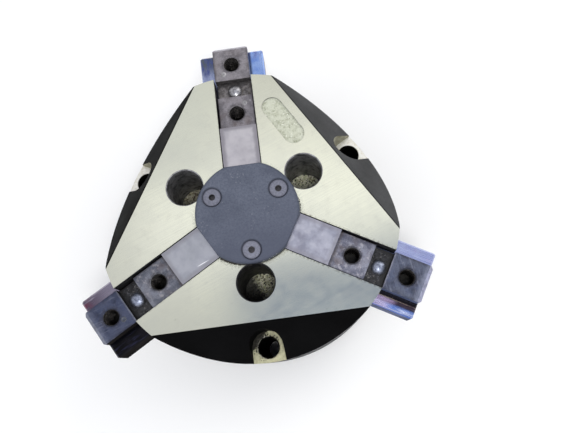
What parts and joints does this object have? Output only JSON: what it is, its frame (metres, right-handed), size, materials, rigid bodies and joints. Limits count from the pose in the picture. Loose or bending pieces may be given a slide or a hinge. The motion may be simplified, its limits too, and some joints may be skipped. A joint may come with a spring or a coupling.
{
  "type": "pneumatic gripper",
  "caption": "Centric pneumatic gripper with a round base, a triangular top face, T-guided radial jaws and a piston-driven wedge hook inside.",
  "frame": {"origin": "on the gripper axis, in the mounting face", "axes": "+Z along the gripper axis out of the jaw side, +Y towards jaw 1"},
  "size_m": [0.1894, 0.1772, 0.103],
  "materials": {
    "body_aluminium": "machined bright top, black anodised slopes and sides",
    "cover_aluminium": "matte hard-anodised blue-grey",
    "jaw_steel": "hardened, ground, stained by use",
    "pin_steel": "ground",
    "screw_steel": "zinc-plated, dulled",
    "drive_steel": "hardened and ground",
    "piston_aluminium": "turned",
    "black_aluminium": "black anodised",
    "seal_rubber": "matte",
    "guide_plastic": "filled bearing plastic",
    "magnet_compound": "bonded magnet",
    "bush_bronze": "machined bronze"
  },
  "bodies": {
    "body": {"housing": "body_aluminium", "center_cover": "cover_aluminium", "cover_screws": "screw_steel", "rod_guide_bush": "bush_bronze", "rod_seal": "seal_rubber", "rear_cover": "black_aluminium", "rear_cover_seal": "seal_rubber", "rear_cover_screws": "screw_steel"},
    "jaw_1": {"jaw_1": "jaw_steel", "jaw_pin_1": "pin_steel"},
    "jaw_2": {"jaw_2": "jaw_steel", "jaw_pin_2": "pin_steel"},
    "jaw_3": {"jaw_3": "jaw_steel", "jaw_pin_3": "pin_steel"},
    "piston": {"piston": "piston_aluminium", "wedge_hook": "drive_steel", "piston_rod": "drive_steel", "piston_seal": "seal_rubber", "piston_magnet": "magnet_compound", "piston_guide_band": "guide_plastic", "piston_washer": "screw_steel", "piston_bolt": "screw_steel"}
  },
  "joints": [
    {"name": "piston_slide", "type": "slide", "parent": "body", "child": "piston", "axis": [0, 0, -1], "range_m": [0, 0.024]},
    {"name": "jaw_1_slide", "type": "slide", "parent": "body", "child": "jaw_1", "axis": [0, -1, 0], "range_m": [0, 0.016]},
    {"name": "jaw_2_slide", "type": "slide", "parent": "body", "child": "jaw_2", "axis": [0.866, 0.5, 0], "range_m": [0, 0.016]},
    {"name": "jaw_3_slide", "type": "slide", "parent": "body", "child": "jaw_3", "axis": [-0.866, 0.5, 0], "range_m": [0, 0.016]}
  ],
  "couplings": [
    {"joint": "jaw_1_slide", "follows": "piston_slide", "ratio": 0.66667},
    {"joint": "jaw_2_slide", "follows": "piston_slide", "ratio": 0.66667},
    {"joint": "jaw_3_slide", "follows": "piston_slide", "ratio": 0.66667}
  ]
}
